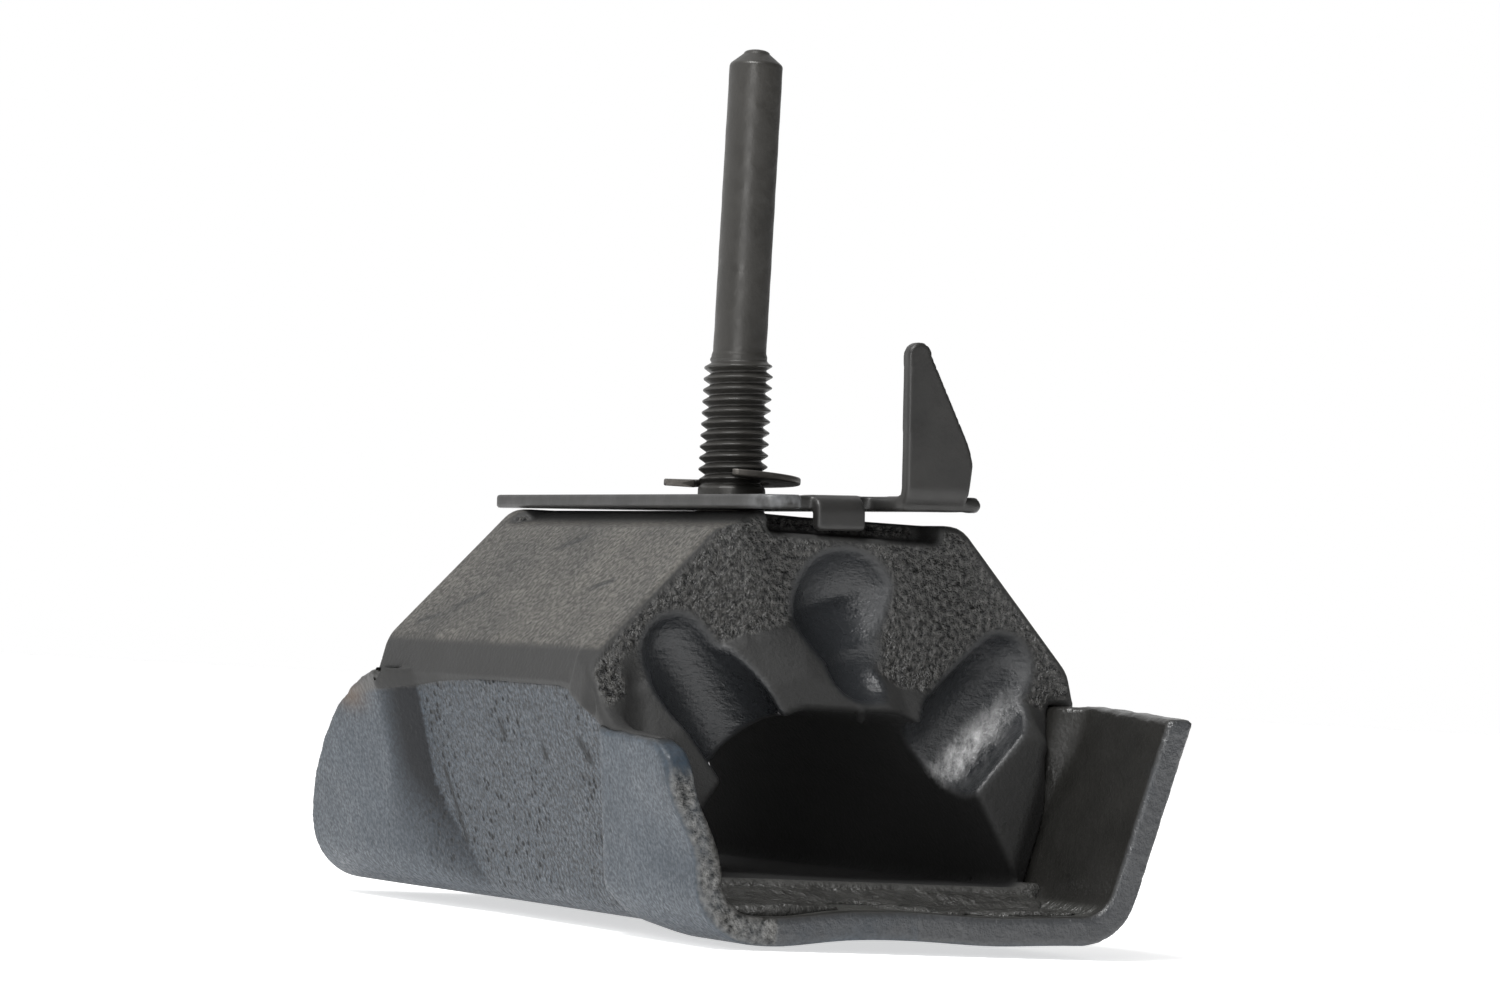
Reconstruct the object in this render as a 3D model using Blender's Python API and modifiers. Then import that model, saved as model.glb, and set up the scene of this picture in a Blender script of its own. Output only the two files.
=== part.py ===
"""Rubber-to-metal engine mount: a flared steel saddle, a rubber block with a tunnel bonded into it,
a steel core in the rubber that carries a threaded stud, and a loose locating plate held on the stud
by a split retaining washer.

Metres. +Z runs up the stud, +Y along the tunnel, and Z = 0 is the flat underside of the saddle.
"""

import math

import bmesh
import bpy
from mathutils import Matrix, Vector

MM = 0.001
GAP = 0.3 * MM  # kept between pieces that touch

# Saddle: a folded steel strip whose walls flare outwards
STEEL = 4.3 * MM
FLARE = math.radians(15.9)  # each wall's lean from upright
WALL_FOOT = 35.9 * MM  # half-width where a wall's outer face would meet the floor
BEND = 9.8 * MM  # outer radius of the two folds
NEAR_END = -68.2 * MM
FAR_END = 69.8 * MM
WALL_TOP = 35.4 * MM
NEAR_WALL_TOPS = {-1: 29.0 * MM, 1: 35.8 * MM}  # the left ear is cut lower
EAR_DROP = 1.2 * MM  # fall of an ear's top edge towards its end
PRESSED_IN = 2.8 * MM  # the middle of each wall is pushed inwards
PRESS_NEAR = (-45.0 * MM, -39.5 * MM)
PRESS_FAR = (18.0 * MM, 38.0 * MM)
FAR_CUT = 34.0 * MM  # from here the far ears' top edge falls in a curve
FAR_CORNER_LOW = 8.6 * MM  # height at which that curve reaches the far end

# Rubber block
BLOCK_HALF = 39.2 * MM  # half its length along the tunnel
BLOCK_TOP = 63.0 * MM
TOP_HALF = 20.5 * MM
KINK_HALF = 41.5 * MM
KINK_HEIGHT = 40.8 * MM
BAND_FOOT = 43.0 * MM  # half-width where the band below the kink meets the saddle's top edge
COLLAR_OUT = 44.5 * MM  # the foot of the block stands this far forward
# The tunnel's right half at its near mouth, as (x, z) in millimetres from its roof down to its floor
TUNNEL_HALF = ((9.4, 33.3), (11.4, 32.2), (21.2, 23.4), (28.4, 12.0), (28.2, 8.9), (26.8, 7.4))
TUNNEL_TAPER = 0.26  # share of its width that it loses by its far mouth
FLUTE_RADIUS = 7.4 * MM
FLUTE_ANGLE = math.radians(39.0)  # side flutes lean this far from upright
FLUTE_DEPTH = 5.8 * MM
NOTCH_X = (-14.0 * MM, 16.4 * MM)
NOTCH_DEPTH = 2.7 * MM
NOTCH_REACH = 7.4 * MM

# Core bonded inside the rubber
CORE_STEEL = 4.0 * MM
CORE_TOP = 57.0 * MM
CORE_TOP_HALF = 13.5 * MM
CORE_FOOT_HALF = 26.5 * MM
CORE_HALF_LENGTH = 29.0 * MM

# Stud: 7/16-14 thread with a long plain pilot
HEAD_RADIUS = 10.0 * MM
HEAD_LOW = 47.6 * MM
HEAD_HIGH = CORE_TOP - CORE_STEEL - GAP
NECK_RADIUS = 5.45 * MM
THREAD_RADIUS = 5.55 * MM
THREAD_ROOT = 4.55 * MM
THREAD_PITCH = 1.814 * MM
THREAD_LOW = 67.4 * MM
THREAD_HIGH = 88.9 * MM
PILOT_RADIUS = 4.3 * MM
PILOT_HIGH = 136.2 * MM
STUD_TOP = 138.7 * MM

# Locating plate
PLATE = 2.2 * MM
PLATE_LEFT = -19.8 * MM
PLATE_RIGHT = 18.8 * MM
PLATE_FRONT = -48.2 * MM
PLATE_BACK = 48.0 * MM
PLATE_TILT = math.radians(2.8)  # it rests on the rubber on its left and stands off on its right
PLATE_HEIGHT = 64.3 * MM  # underside at the stud
PLATE_HOLE = 6.3 * MM
RELIEF_X = (-12.6 * MM, 4.4 * MM)  # cut in the front edge, round the hook
RELIEF_Y = -38.2 * MM
HOOK_X = (-5.9 * MM, 2.5 * MM)
HOOK_REACH = 3.2 * MM  # how far it hangs below the plate
FINGER_X = (5.1 * MM, 17.2 * MM)
FINGER_TIP_X = (5.2 * MM, 9.4 * MM)
FINGER_SHOULDER = 8.4 * MM
FINGER_HEIGHT = 25.8 * MM

# Retaining washer, a split flat ring sprung along the thread
WASHER = 1.2 * MM
WASHER_INNER = 5.95 * MM
WASHER_OUTER = 11.0 * MM
WASHER_START = math.radians(242.0)
WASHER_SWEEP = math.radians(270.0)
WASHER_HIGH = 70.1 * MM
WASHER_FALL = 1.9 * MM


def clear_scene():
    for obj in list(bpy.data.objects):
        bpy.data.objects.remove(obj, do_unlink=True)


def new_collection(name):
    collection = bpy.data.collections.new(name)
    bpy.context.scene.collection.children.link(collection)
    return collection


def material(name, colour, roughness, metallic):
    made = bpy.data.materials.new(name)
    made.use_nodes = True
    shader = made.node_tree.nodes["Principled BSDF"]
    shader.inputs["Base Color"].default_value = (*colour, 1.0)
    shader.inputs["Roughness"].default_value = roughness
    shader.inputs["Metallic"].default_value = metallic
    return made


def add_object(name, bm, collection, finish=None, smooth_under=35.0):
    """An object made from a bmesh, which it uses up."""
    bmesh.ops.recalc_face_normals(bm, faces=bm.faces)
    mesh = bpy.data.meshes.new(name)
    bm.to_mesh(mesh)
    bm.free()
    mesh.shade_smooth()
    mesh.set_sharp_from_angle(angle=math.radians(smooth_under))
    obj = bpy.data.objects.new(name, mesh)
    collection.objects.link(obj)
    if finish:
        mesh.materials.append(finish)
    else:
        obj.hide_render = True
        obj.display_type = "WIRE"
    return obj


def loft(rings):
    """A closed solid through rings of points, with a flat cap on the first and the last."""
    bm = bmesh.new()
    rows = [[bm.verts.new(point) for point in ring] for ring in rings]
    count = len(rows[0])
    for low, high in zip(rows, rows[1:]):
        for i in range(count):
            j = (i + 1) % count
            bm.faces.new((low[i], low[j], high[j], high[i]))
    bm.faces.new(reversed(rows[0]))
    bm.faces.new(rows[-1])
    return bm


def prism(outline, low, high):
    """An outline of (x, z) points carried along Y from low to high."""
    return loft([[(x, y, z) for x, z in outline] for y in (low, high)])


def slab(outline, low, high):
    """An outline of (x, y) points carried up from low to high."""
    return loft([[(x, y, z) for x, y in outline] for z in (low, high)])


def turned(profile, steps):
    """A solid of revolution about Z from (radius, height) points that start and end on the axis."""
    bm = bmesh.new()
    bottom = bm.verts.new((0, 0, profile[0][1]))
    top = bm.verts.new((0, 0, profile[-1][1]))
    rows = []
    for radius, height in profile[1:-1]:
        turns = [2 * math.pi * i / steps for i in range(steps)]
        rows.append([bm.verts.new((radius * math.cos(a), radius * math.sin(a), height)) for a in turns])
    for i in range(steps):
        j = (i + 1) % steps
        bm.faces.new((bottom, rows[0][j], rows[0][i]))
        bm.faces.new((top, rows[-1][i], rows[-1][j]))
        for low, high in zip(rows, rows[1:]):
            bm.faces.new((low[i], low[j], high[j], high[i]))
    return bm


def combine(obj, other, operation):
    step = obj.modifiers.new(f"{operation.title()} {other.name}", "BOOLEAN")
    step.operation = operation
    step.object = other
    step.solver = "EXACT"


def ease(value, start, end):
    """0 before start, 1 after end, and a smooth rise between."""
    share = min(max((value - start) / (end - start), 0.0), 1.0)
    return share * share * (3 - 2 * share)


def pressed_in(y):
    """How far the wall is pushed inwards at y: a sharp step at the near side, a long ramp at the far side."""
    ramp = min(max((PRESS_FAR[1] - y) / (PRESS_FAR[1] - PRESS_FAR[0]), 0.0), 1.0)
    return PRESSED_IN * ease(y, *PRESS_NEAR) * ramp


def wall_top(side, y):
    """Height of the wall's top edge at y, on the left (-1) or the right (1)."""
    near = NEAR_WALL_TOPS[side]
    if y < PRESS_NEAR[1]:
        ear = near - EAR_DROP * (PRESS_NEAR[1] - y) / (PRESS_NEAR[1] - NEAR_END)
        return ear + (WALL_TOP - near) * ease(y, *PRESS_NEAR)
    past = min(max((y - FAR_CUT) / (FAR_END - FAR_CUT), 0.0), 1.0)
    return FAR_CORNER_LOW + (WALL_TOP - FAR_CORNER_LOW) * (1 - past ** 1.4) ** 0.68


def wall_face(z, y, inset=0.0):
    """Half-width of the wall's outer face at height z, or of a face that far inside it."""
    return WALL_FOOT + z * math.tan(FLARE) - pressed_in(y) - inset / math.cos(FLARE)


def fold(depth, y, steps):
    """Points (x, z) round the fold, on the face that lies depth inside the steel's outer face."""
    turn = math.pi / 2 - FLARE
    centre = WALL_FOOT - BEND * math.tan(turn / 2)
    points = []
    for i in range(steps + 1):
        angle = turn * (1 - i / steps)
        out = math.sin(angle)
        x = centre + (BEND - depth) * out - pressed_in(y) * out / math.sin(turn)
        points.append((x, BEND - (BEND - depth) * math.cos(angle)))
    return points


def half_face(depth, y, top, rises=5, steps=5):
    """Half of a face of the saddle, from its top edge down the wall and round the fold to the floor."""
    bend = fold(depth, y, steps)
    low = bend[0][1]
    wall = [top + (low - top) * i / rises for i in range(rises)]
    return [(wall_face(z, y, depth), z) for z in wall] + bend


def mirrored(half, other=None):
    """A whole open line from its right half, listed right side first, and its left half."""
    return half + [(-x, z) for x, z in reversed(other or half)]


def saddle_stations():
    near = [NEAR_END + (PRESS_NEAR[0] - NEAR_END) * i / 3 for i in range(3)]
    step = [PRESS_NEAR[0] + (PRESS_NEAR[1] - PRESS_NEAR[0]) * i / 4 for i in range(5)]
    middle = [-25 * MM, -10 * MM, 4 * MM]
    ramp = [PRESS_FAR[0], (PRESS_FAR[0] + FAR_CUT) / 2, FAR_CUT]
    ear = [PRESS_FAR[1] + (FAR_END - PRESS_FAR[1]) * math.sin(math.pi / 2 * i / 8) for i in range(9)]
    return near + step + middle + ramp + ear


def make_saddle(parts, finish):
    rings = []
    for y in saddle_stations():
        right, left = (wall_top(side, y) for side in (1, -1))
        outer = mirrored(half_face(0.0, y, right), half_face(0.0, y, left))
        inner = mirrored(half_face(STEEL, y, right), half_face(STEEL, y, left))
        rings.append([(x, y, z) for x, z in outer + inner[::-1]])
    saddle = add_object("saddle", loft(rings), parts, finish)
    edge = saddle.modifiers.new("Worn edges", "BEVEL")
    edge.width = 0.6 * MM
    edge.segments = 1
    edge.limit_method = "ANGLE"
    edge.angle_limit = math.radians(60)
    return saddle


def block_ring(y):
    """The block's outline at y: slopes, the band over the wall's edge, then the wall's inner face."""
    top = wall_top(1, max(y, PRESS_NEAR[1]))
    lip = top + GAP
    foot = min(wall_face(lip, y), BAND_FOOT)
    outside = [(TOP_HALF, BLOCK_TOP), (KINK_HALF, KINK_HEIGHT), (foot, lip)]
    inside = half_face(STEEL + GAP, y, lip, rises=4, steps=4)
    half = outside + inside
    return [(x, y, z) for x, z in mirrored(half)]


def make_block(parts, finish):
    stations = [-BLOCK_HALF, -15 * MM, PRESS_FAR[0], FAR_CUT, PRESS_FAR[1], BLOCK_HALF]
    return add_object("rubber_block", loft([block_ring(y) for y in stations]), parts, finish)


def collar(cutters, side):
    """The smooth foot that leans forward from the block's end face round the mouth of the tunnel."""
    inner_wall = [(wall_face(z, 0.0, STEEL + GAP) - 0.4 * MM, z) for z in (30 * MM, 12 * MM)]
    floor = [(27.4 * MM, STEEL + GAP + 0.4 * MM)]
    back = mirrored([(15 * MM, 45.5 * MM)] + inner_wall + floor)
    front_wall = [(x - 0.8 * MM, z) for x, z in [(inner_wall[0][0], 25 * MM), inner_wall[1]]]
    front = mirrored([(13.2 * MM, 36 * MM)] + front_wall + floor)
    rings = [[(x, side * y, z) for x, z in ring] for ring, y in ((back, BLOCK_HALF - 3 * MM),
             (back, BLOCK_HALF), (front, COLLAR_OUT))]
    name = "near" if side < 0 else "far"
    return add_object(f"collar_{name}", loft(rings), cutters)


def tunnel(cutters):
    """The tunnel's cutter, which runs past both mouths and narrows all the way."""
    reach = COLLAR_OUT + 10 * MM
    rings = []
    for y in (-reach, reach):
        narrow = 1 - TUNNEL_TAPER * (y + COLLAR_OUT) / (2 * COLLAR_OUT)
        half = [(x * MM * narrow, z * MM) for x, z in TUNNEL_HALF]
        rings.append([(x, y, z) for x, z in mirrored(half)])
    return add_object("tunnel", loft(rings), cutters)


def capsule(radius, length, steps=20):
    """A rod along -Z from the origin, with a round upper end."""
    dome = [(radius * math.cos(a), radius * math.sin(a)) for a in
            [math.pi / 2 * i / 5 for i in range(5)]]
    return turned([(0.0, -length), (radius, -length)] + dome + [(0.0, radius)], steps)


def flute(cutters, name, side, top, lean, length, radius, depths):
    """A round-bottomed groove down the end face, from top (x, z), deeper towards the tunnel."""
    obj = add_object(name, capsule(radius, length), cutters)
    shallow, deep = depths
    tip = math.atan((deep - shallow) / length)
    obj.rotation_euler = (-side * tip, lean, 0.0)
    x, z = top
    obj.location = (x, side * (BLOCK_HALF + radius - shallow), z)
    return obj


def flutes(cutters, side):
    name = "near" if side < 0 else "far"
    made = []
    for lean, label in ((-FLUTE_ANGLE, "left"), (FLUTE_ANGLE, "right")):
        x = math.copysign(28.6 * MM, lean)
        depths = (2.6 * MM, FLUTE_DEPTH + 2.2 * MM)
        made.append(flute(cutters, f"flute_{name}_{label}", side, (x, 41 * MM), lean, 34 * MM,
                          FLUTE_RADIUS, depths))
    made.append(flute(cutters, f"flute_{name}_middle", side, (0.5 * MM, 47.6 * MM), 0.0, 7.4 * MM,
                      8.6 * MM, (3.2 * MM, FLUTE_DEPTH)))
    return made


def notch(cutters):
    low, high = NOTCH_X
    floor = BLOCK_TOP - NOTCH_DEPTH
    outline = [(low, BLOCK_TOP + 5 * MM), (low, floor + MM), (low + MM, floor), (high - 2 * MM, floor),
               (high, floor + 1.6 * MM), (high, BLOCK_TOP + 5 * MM)]
    return add_object("notch", prism(outline, -BLOCK_HALF - 5 * MM, -BLOCK_HALF + NOTCH_REACH), cutters)


def core_outline(grow=0.0):
    """The core's channel section, thickened all round by grow."""
    slope = Vector((CORE_FOOT_HALF - CORE_TOP_HALF, CORE_TOP_HALF - CORE_FOOT_HALF)).normalized()
    across = Vector((-slope.y, slope.x))
    steel = CORE_STEEL + 2 * grow
    shoulder = Vector((CORE_TOP_HALF, CORE_TOP + grow)) + Vector((grow * math.tan(math.pi / 8), 0.0))
    reach = (CORE_FOOT_HALF - CORE_TOP_HALF) / slope.x + grow
    foot = shoulder + slope * reach
    under_foot = foot - across * steel
    under_shoulder = shoulder - Vector((steel * math.tan(math.pi / 8), steel))
    return mirrored([tuple(under_shoulder), tuple(under_foot), tuple(foot), tuple(shoulder)][::-1])


def make_core(parts, cutters, finish):
    length = CORE_HALF_LENGTH
    core = add_object("core_channel", prism(core_outline(), -length, length), parts, finish)
    bore = turned([(0, 0.04), (NECK_RADIUS + GAP, 0.04), (NECK_RADIUS + GAP, 0.07), (0, 0.07)], 32)
    combine(core, add_object("core_bore", bore, cutters), "DIFFERENCE")
    return core


def core_pocket(cutters):
    length = CORE_HALF_LENGTH + GAP
    return add_object("core_pocket", prism(core_outline(GAP), -length, length), cutters)


def stud_pocket(cutters):
    head = HEAD_RADIUS + GAP
    neck = NECK_RADIUS + GAP + 0.05 * MM
    profile = [(0, HEAD_LOW - GAP), (head, HEAD_LOW - GAP), (head, HEAD_HIGH + 1.5 * MM),
               (neck, HEAD_HIGH + 1.5 * MM), (neck, 0.08), (0, 0.08)]
    return add_object("stud_pocket", turned(profile, 36), cutters)


def thread_radius(z, angle):
    """Radius of the thread at a height and an angle round the stud."""
    phase = (z / THREAD_PITCH - angle / (2 * math.pi)) % 1.0
    crest = 1 - abs(2 * phase - 1)
    flank = min(max((crest - 0.1) / 0.8, 0.0), 1.0)
    full = THREAD_ROOT + (THREAD_RADIUS - THREAD_ROOT) * flank
    low_end = ease(z, THREAD_LOW, THREAD_LOW + 2 * MM)
    high_end = 1 - ease(z, THREAD_HIGH - 1.6 * MM, THREAD_HIGH)
    blank = NECK_RADIUS * (1 - low_end) + THREAD_ROOT * low_end
    return blank + (full - blank) * min(low_end, high_end)


def make_stud(parts, finish):
    steps = 28
    rows = [(HEAD_RADIUS - 0.8 * MM, HEAD_LOW), (HEAD_RADIUS, HEAD_LOW + 0.8 * MM),
            (HEAD_RADIUS, HEAD_HIGH), (NECK_RADIUS, HEAD_HIGH + 0.01 * MM)]
    turns = [2 * math.pi * i / steps for i in range(steps)]
    rings = [[(r * math.cos(a), r * math.sin(a), z) for a in turns] for r, z in rows]
    count = round((THREAD_HIGH - THREAD_LOW) / (THREAD_PITCH / 6))
    for i in range(count + 1):
        z = THREAD_LOW + (THREAD_HIGH - THREAD_LOW) * i / count
        radii = [thread_radius(z, a) for a in turns]
        rings.append([(r * math.cos(a), r * math.sin(a), z) for r, a in zip(radii, turns)])
    nose = PILOT_RADIUS * 0.42
    for r, z in ((PILOT_RADIUS - 0.1 * MM, THREAD_HIGH + 0.5 * MM), (PILOT_RADIUS, THREAD_HIGH + MM),
                 (PILOT_RADIUS, PILOT_HIGH), (nose, STUD_TOP - 0.7 * MM), (nose * 0.6, STUD_TOP)):
        rings.append([(r * math.cos(a), r * math.sin(a), z) for a in turns])
    return add_object("stud", loft(rings), parts, finish, 50.0)


def rounded(outline, steps=5):
    """An outline of (x, y, corner radius) points with its corners rounded."""
    points = []
    count = len(outline)
    for i, (x, y, radius) in enumerate(outline):
        here = Vector((x, y))
        if not radius:
            points.append((x, y))
            continue
        before = (Vector(outline[i - 1][:2]) - here).normalized()
        after = (Vector(outline[(i + 1) % count][:2]) - here).normalized()
        half = before.angle(after) / 2
        centre = here + (before + after).normalized() * (radius / math.sin(half))
        start = here + before * (radius / math.tan(half)) - centre
        end = here + after * (radius / math.tan(half)) - centre
        turn = start.angle_signed(end)
        for k in range(steps + 1):
            arm = Matrix.Rotation(-turn * k / steps, 2) @ start
            points.append(tuple(centre + arm))
    return points


def plate_outline():
    low, high = RELIEF_X
    corners = [(PLATE_LEFT, PLATE_BACK, 3 * MM), (PLATE_LEFT, PLATE_FRONT, 3.1 * MM),
               (low, PLATE_FRONT, 3.1 * MM), (low, RELIEF_Y, 1.5 * MM), (high, RELIEF_Y, 0.8 * MM),
               (high, PLATE_FRONT + 1.6 * MM, 0), (PLATE_RIGHT, PLATE_FRONT + 1.6 * MM, 1.2 * MM),
               (PLATE_RIGHT, PLATE_BACK, 3 * MM)]
    return rounded(corners)


def strip(path, width):
    """A bent strip of plate: path holds (y, z, lean) of its middle line, width gives its x range."""
    rings = []
    for y, z, lean, spread in path:
        low, high = width(spread)
        off = Vector((-math.sin(lean), math.cos(lean))) * PLATE / 2
        rings.append([(low, y - off.x, z - off.y), (high, y - off.x, z - off.y),
                      (high, y + off.x, z + off.y), (low, y + off.x, z + off.y)])
    return loft(rings)


def finger(cutters):
    """The flag bent up from the front edge: upright on its left, slanted on its right."""
    inner = 1.4 * MM
    radius = inner + PLATE / 2
    turn_y = PLATE_FRONT + PLATE / 2 + radius
    middle = PLATE / 2
    path = [(turn_y + 2.5 * MM, middle, math.pi, 0.0), (turn_y, middle, math.pi, 0.0)]
    for i in range(1, 6):
        angle = math.pi / 2 * i / 5
        path.append((turn_y - radius * math.sin(angle), middle + radius * (1 - math.cos(angle)),
                     math.pi - angle, 0.0))
    top = FINGER_HEIGHT
    tip = (FINGER_TIP_X[1] - FINGER_TIP_X[0]) / 2
    heights = [FINGER_SHOULDER - 2 * MM, FINGER_SHOULDER, top - tip]
    heights += [top - tip + tip * math.sin(math.pi / 2 * i / 5) for i in range(1, 5)]
    path += [(PLATE_FRONT + PLATE / 2, z, math.pi / 2, z) for z in heights + [top - 0.02 * MM]]

    def width(z):
        low, high = FINGER_X
        if z < FINGER_SHOULDER:
            return low, high - (0.5 * MM if z < FINGER_SHOULDER - MM else 0.0)
        share = min((z - FINGER_SHOULDER) / (top - tip - FINGER_SHOULDER), 1.0)
        low += (FINGER_TIP_X[0] - low) * share
        high += (FINGER_TIP_X[1] - high) * share
        past = max(z - (top - tip), 0.0)
        pull = tip - math.sqrt(max(tip * tip - past * past, 0.0))
        return low + pull, high - pull

    return add_object("finger", strip(path, width), cutters)


def hook(cutters):
    """The short tab bent down from the relief, which sits in the rubber's notch."""
    radius = 1.6 * MM
    turn_y = RELIEF_Y + 0.6 * MM
    middle = PLATE / 2
    path = [(turn_y + 2 * MM, middle, math.pi, 0.0), (turn_y, middle, math.pi, 0.0)]
    for i in range(1, 5):
        angle = math.pi / 2 * i / 4
        path.append((turn_y - radius * math.sin(angle), middle - radius * (1 - math.cos(angle)),
                     math.pi + angle, 0.0))
    path.append((turn_y - radius, -HOOK_REACH, math.pi * 1.5, 0.0))
    return add_object("hook", strip(path, lambda _: HOOK_X), cutters)


def make_plate(parts, cutters, finish):
    plate = add_object("locator_plate", slab(plate_outline(), 0.0, PLATE), parts, finish)
    hole = turned([(0, -0.01), (PLATE_HOLE, -0.01), (PLATE_HOLE, 0.01), (0, 0.01)], 32)
    pieces = [(finger(cutters), "UNION"), (hook(cutters), "UNION"),
              (add_object("plate_hole", hole, cutters), "DIFFERENCE")]
    for obj in [plate] + [piece for piece, _ in pieces]:
        obj.location = (0.0, 0.0, PLATE_HEIGHT)
        obj.rotation_euler = (0.0, -PLATE_TILT, 0.0)
    for piece, operation in pieces:
        combine(plate, piece, operation)
    return plate


def make_washer(parts, finish):
    steps = 40
    rings = []
    for i in range(steps + 1):
        share = i / steps
        angle = WASHER_START + WASHER_SWEEP * share
        z = WASHER_HIGH - WASHER_FALL * share
        corners = [(WASHER_INNER, -WASHER / 2), (WASHER_OUTER - 0.3 * MM, -WASHER / 2),
                   (WASHER_OUTER, 0.0), (WASHER_OUTER - 0.3 * MM, WASHER / 2), (WASHER_INNER, WASHER / 2)]
        rings.append([(r * math.cos(angle), r * math.sin(angle), z + up) for r, up in corners])
    return add_object("retaining_washer", loft(rings), parts, finish)


def main():
    clear_scene()
    parts = new_collection("engine_mount")
    cutters = new_collection("engine_mount_cutters")
    painted = material("black_coated_steel", (0.045, 0.052, 0.062), 0.45, 0.0)
    rubber = material("moulded_rubber", (0.028, 0.027, 0.026), 0.62, 0.0)
    core_steel = material("bonded_core_steel", (0.16, 0.16, 0.16), 0.5, 1.0)
    oxide = material("black_oxide_stud", (0.055, 0.053, 0.05), 0.4, 0.6)
    plate_paint = material("plate_black", (0.04, 0.041, 0.043), 0.4, 0.2)
    washer_steel = material("washer_steel", (0.12, 0.115, 0.105), 0.4, 0.8)

    make_saddle(parts, painted)
    block = make_block(parts, rubber)
    for side in (-1, 1):
        combine(block, collar(cutters, side), "UNION")
    combine(block, tunnel(cutters), "DIFFERENCE")
    for side in (-1, 1):
        for groove in flutes(cutters, side):
            combine(block, groove, "DIFFERENCE")
    for cutter in (notch(cutters), core_pocket(cutters), stud_pocket(cutters)):
        combine(block, cutter, "DIFFERENCE")
    make_core(parts, cutters, core_steel)
    make_stud(parts, oxide)
    make_plate(parts, cutters, plate_paint)
    make_washer(parts, washer_steel)


main()
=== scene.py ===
"""The looks of the rubber engine mount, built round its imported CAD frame."""

import math

import bpy
import numpy as np
from mathutils import Matrix, Vector


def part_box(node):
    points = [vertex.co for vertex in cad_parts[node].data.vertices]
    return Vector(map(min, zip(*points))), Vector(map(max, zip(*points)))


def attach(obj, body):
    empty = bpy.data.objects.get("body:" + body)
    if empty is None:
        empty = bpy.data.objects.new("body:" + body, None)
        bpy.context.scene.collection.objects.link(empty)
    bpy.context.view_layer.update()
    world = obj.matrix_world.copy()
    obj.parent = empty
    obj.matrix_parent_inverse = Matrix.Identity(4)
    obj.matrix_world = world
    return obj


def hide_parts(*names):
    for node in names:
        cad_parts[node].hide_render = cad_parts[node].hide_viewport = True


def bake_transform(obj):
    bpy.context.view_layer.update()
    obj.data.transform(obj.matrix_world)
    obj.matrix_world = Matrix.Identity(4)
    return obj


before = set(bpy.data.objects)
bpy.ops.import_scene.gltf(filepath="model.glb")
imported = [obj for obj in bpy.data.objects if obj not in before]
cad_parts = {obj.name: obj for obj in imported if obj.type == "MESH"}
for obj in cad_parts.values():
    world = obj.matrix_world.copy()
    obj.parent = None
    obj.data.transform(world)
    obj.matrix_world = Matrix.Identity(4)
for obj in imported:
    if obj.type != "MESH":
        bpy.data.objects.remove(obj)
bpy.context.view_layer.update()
MM = 0.001

# Sizes are in millimetres, in the CAD's frame: the saddle's flat underside is at Z = 0, and the stud is
# at x = y = 0. A pair that is given for left and right has the left (-X) side first.

# Saddle
STEEL = 4.3
FLARE = math.radians(15.9)  # each wall's lean from upright
WALL_FOOT = 35.9  # half-width where a wall's outer face would meet the floor
BEND = 9.8  # outer radius of the two folds
NEAR_END = -68.2
FAR_END = 69.8
FAR_OVER = 0.4  # the far edge lies this far past FAR_END
WALL_TOP = 35.4
NEAR_WALL_TOPS = (29.0, 36.2)  # left and right near ears
EAR_DROP = 1.2  # fall of a near ear's top edge towards its end
PRESSED_IN = 3.4  # the panel between the ears is pushed inwards by this much
PRESS_NEAR = (-46.0, -40.5)  # the panel's near crease starts and ends here along y
PRESS_FAR = (25.0, 33.0)  # and its far crease here
PRESS_FAR_SLANTS = (13.0, 6.5)  # how far the two lines of the far crease shift towards the floor
FAR_LEAN = 0.9  # the far ears lean outwards by this much
FAR_CUT = 34.0  # from here the far ears' top edge falls in a curve
FAR_CORNER_LOW = 8.0  # height at which that curve reaches the far end
HANG = 1.5  # how far the left near fold hangs below the flat underside
RIPPLE = 0.5

# Rubber block
BLOCK_HALF = 39.2  # half its length along the tunnel
BLOCK_TOP = 63.0
TOP_HALF = 20.5
SLOPE_NORMAL = (0.723, 0.691)
KINK_HALF = 41.5
KINK_HEIGHT = 40.8
BAND_FOOT = 43.0  # half-width where the band below the kink meets the saddle's top edge
TUCK = 2.3  # how far the left slope's top edge is drawn in under the plate
COLLAR_OUT = 44.5  # the smooth foot round the tunnel's mouth stands this far out
COLLAR_EDGE = 1.5  # height of the sharp step at the foot's rim
COLLAR_TOP = ((-16.0, -8.0, 0.0, 4.0, 10.5, 16.0, 36.0), (44.6, 47.2, 46.0, 41.4, 37.6, 37.2, 36.2))
COLLAR_CORNER, COLLAR_NORMAL = (16.0, 45.3), (0.438, 0.899)
FLUTE_RADIUS = 7.4
FLUTE_TOP, FLUTE_FOOT = (28.6, 41.0), (15.0, 24.2)  # x and z of a side flute's axis
FLUTE_DEPTHS = (2.6, 5.4)  # at its top and its foot
MIDDLE_TOP, MIDDLE_FOOT = (0.0, 7.4, 49.2), (2.3, 6.6, 42.4)  # x, distance out from the face, and z
MIDDLE_RADII = (11.6, 7.6)
TUNNEL_ROOF, TUNNEL_FLOOR = 33.3, 7.4
TUNNEL_SHOULDER, SHOULDER_NORMAL = (10.5, 32.9), (0.664, 0.748)
TUNNEL_SIDE, SIDE_NORMAL = (21.2, 23.4), (0.845, 0.535)
TUNNEL_TAPER = 0.26  # share of its width that it loses by its far mouth
NOTCH_X, NOTCH_BACK, NOTCH_DEPTH = (-14.0, 16.4), -31.8, 2.8
NECK_FLOOR = 58.0  # the hole for the stud starts at this height
APRON_LOW = 4.5

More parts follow.
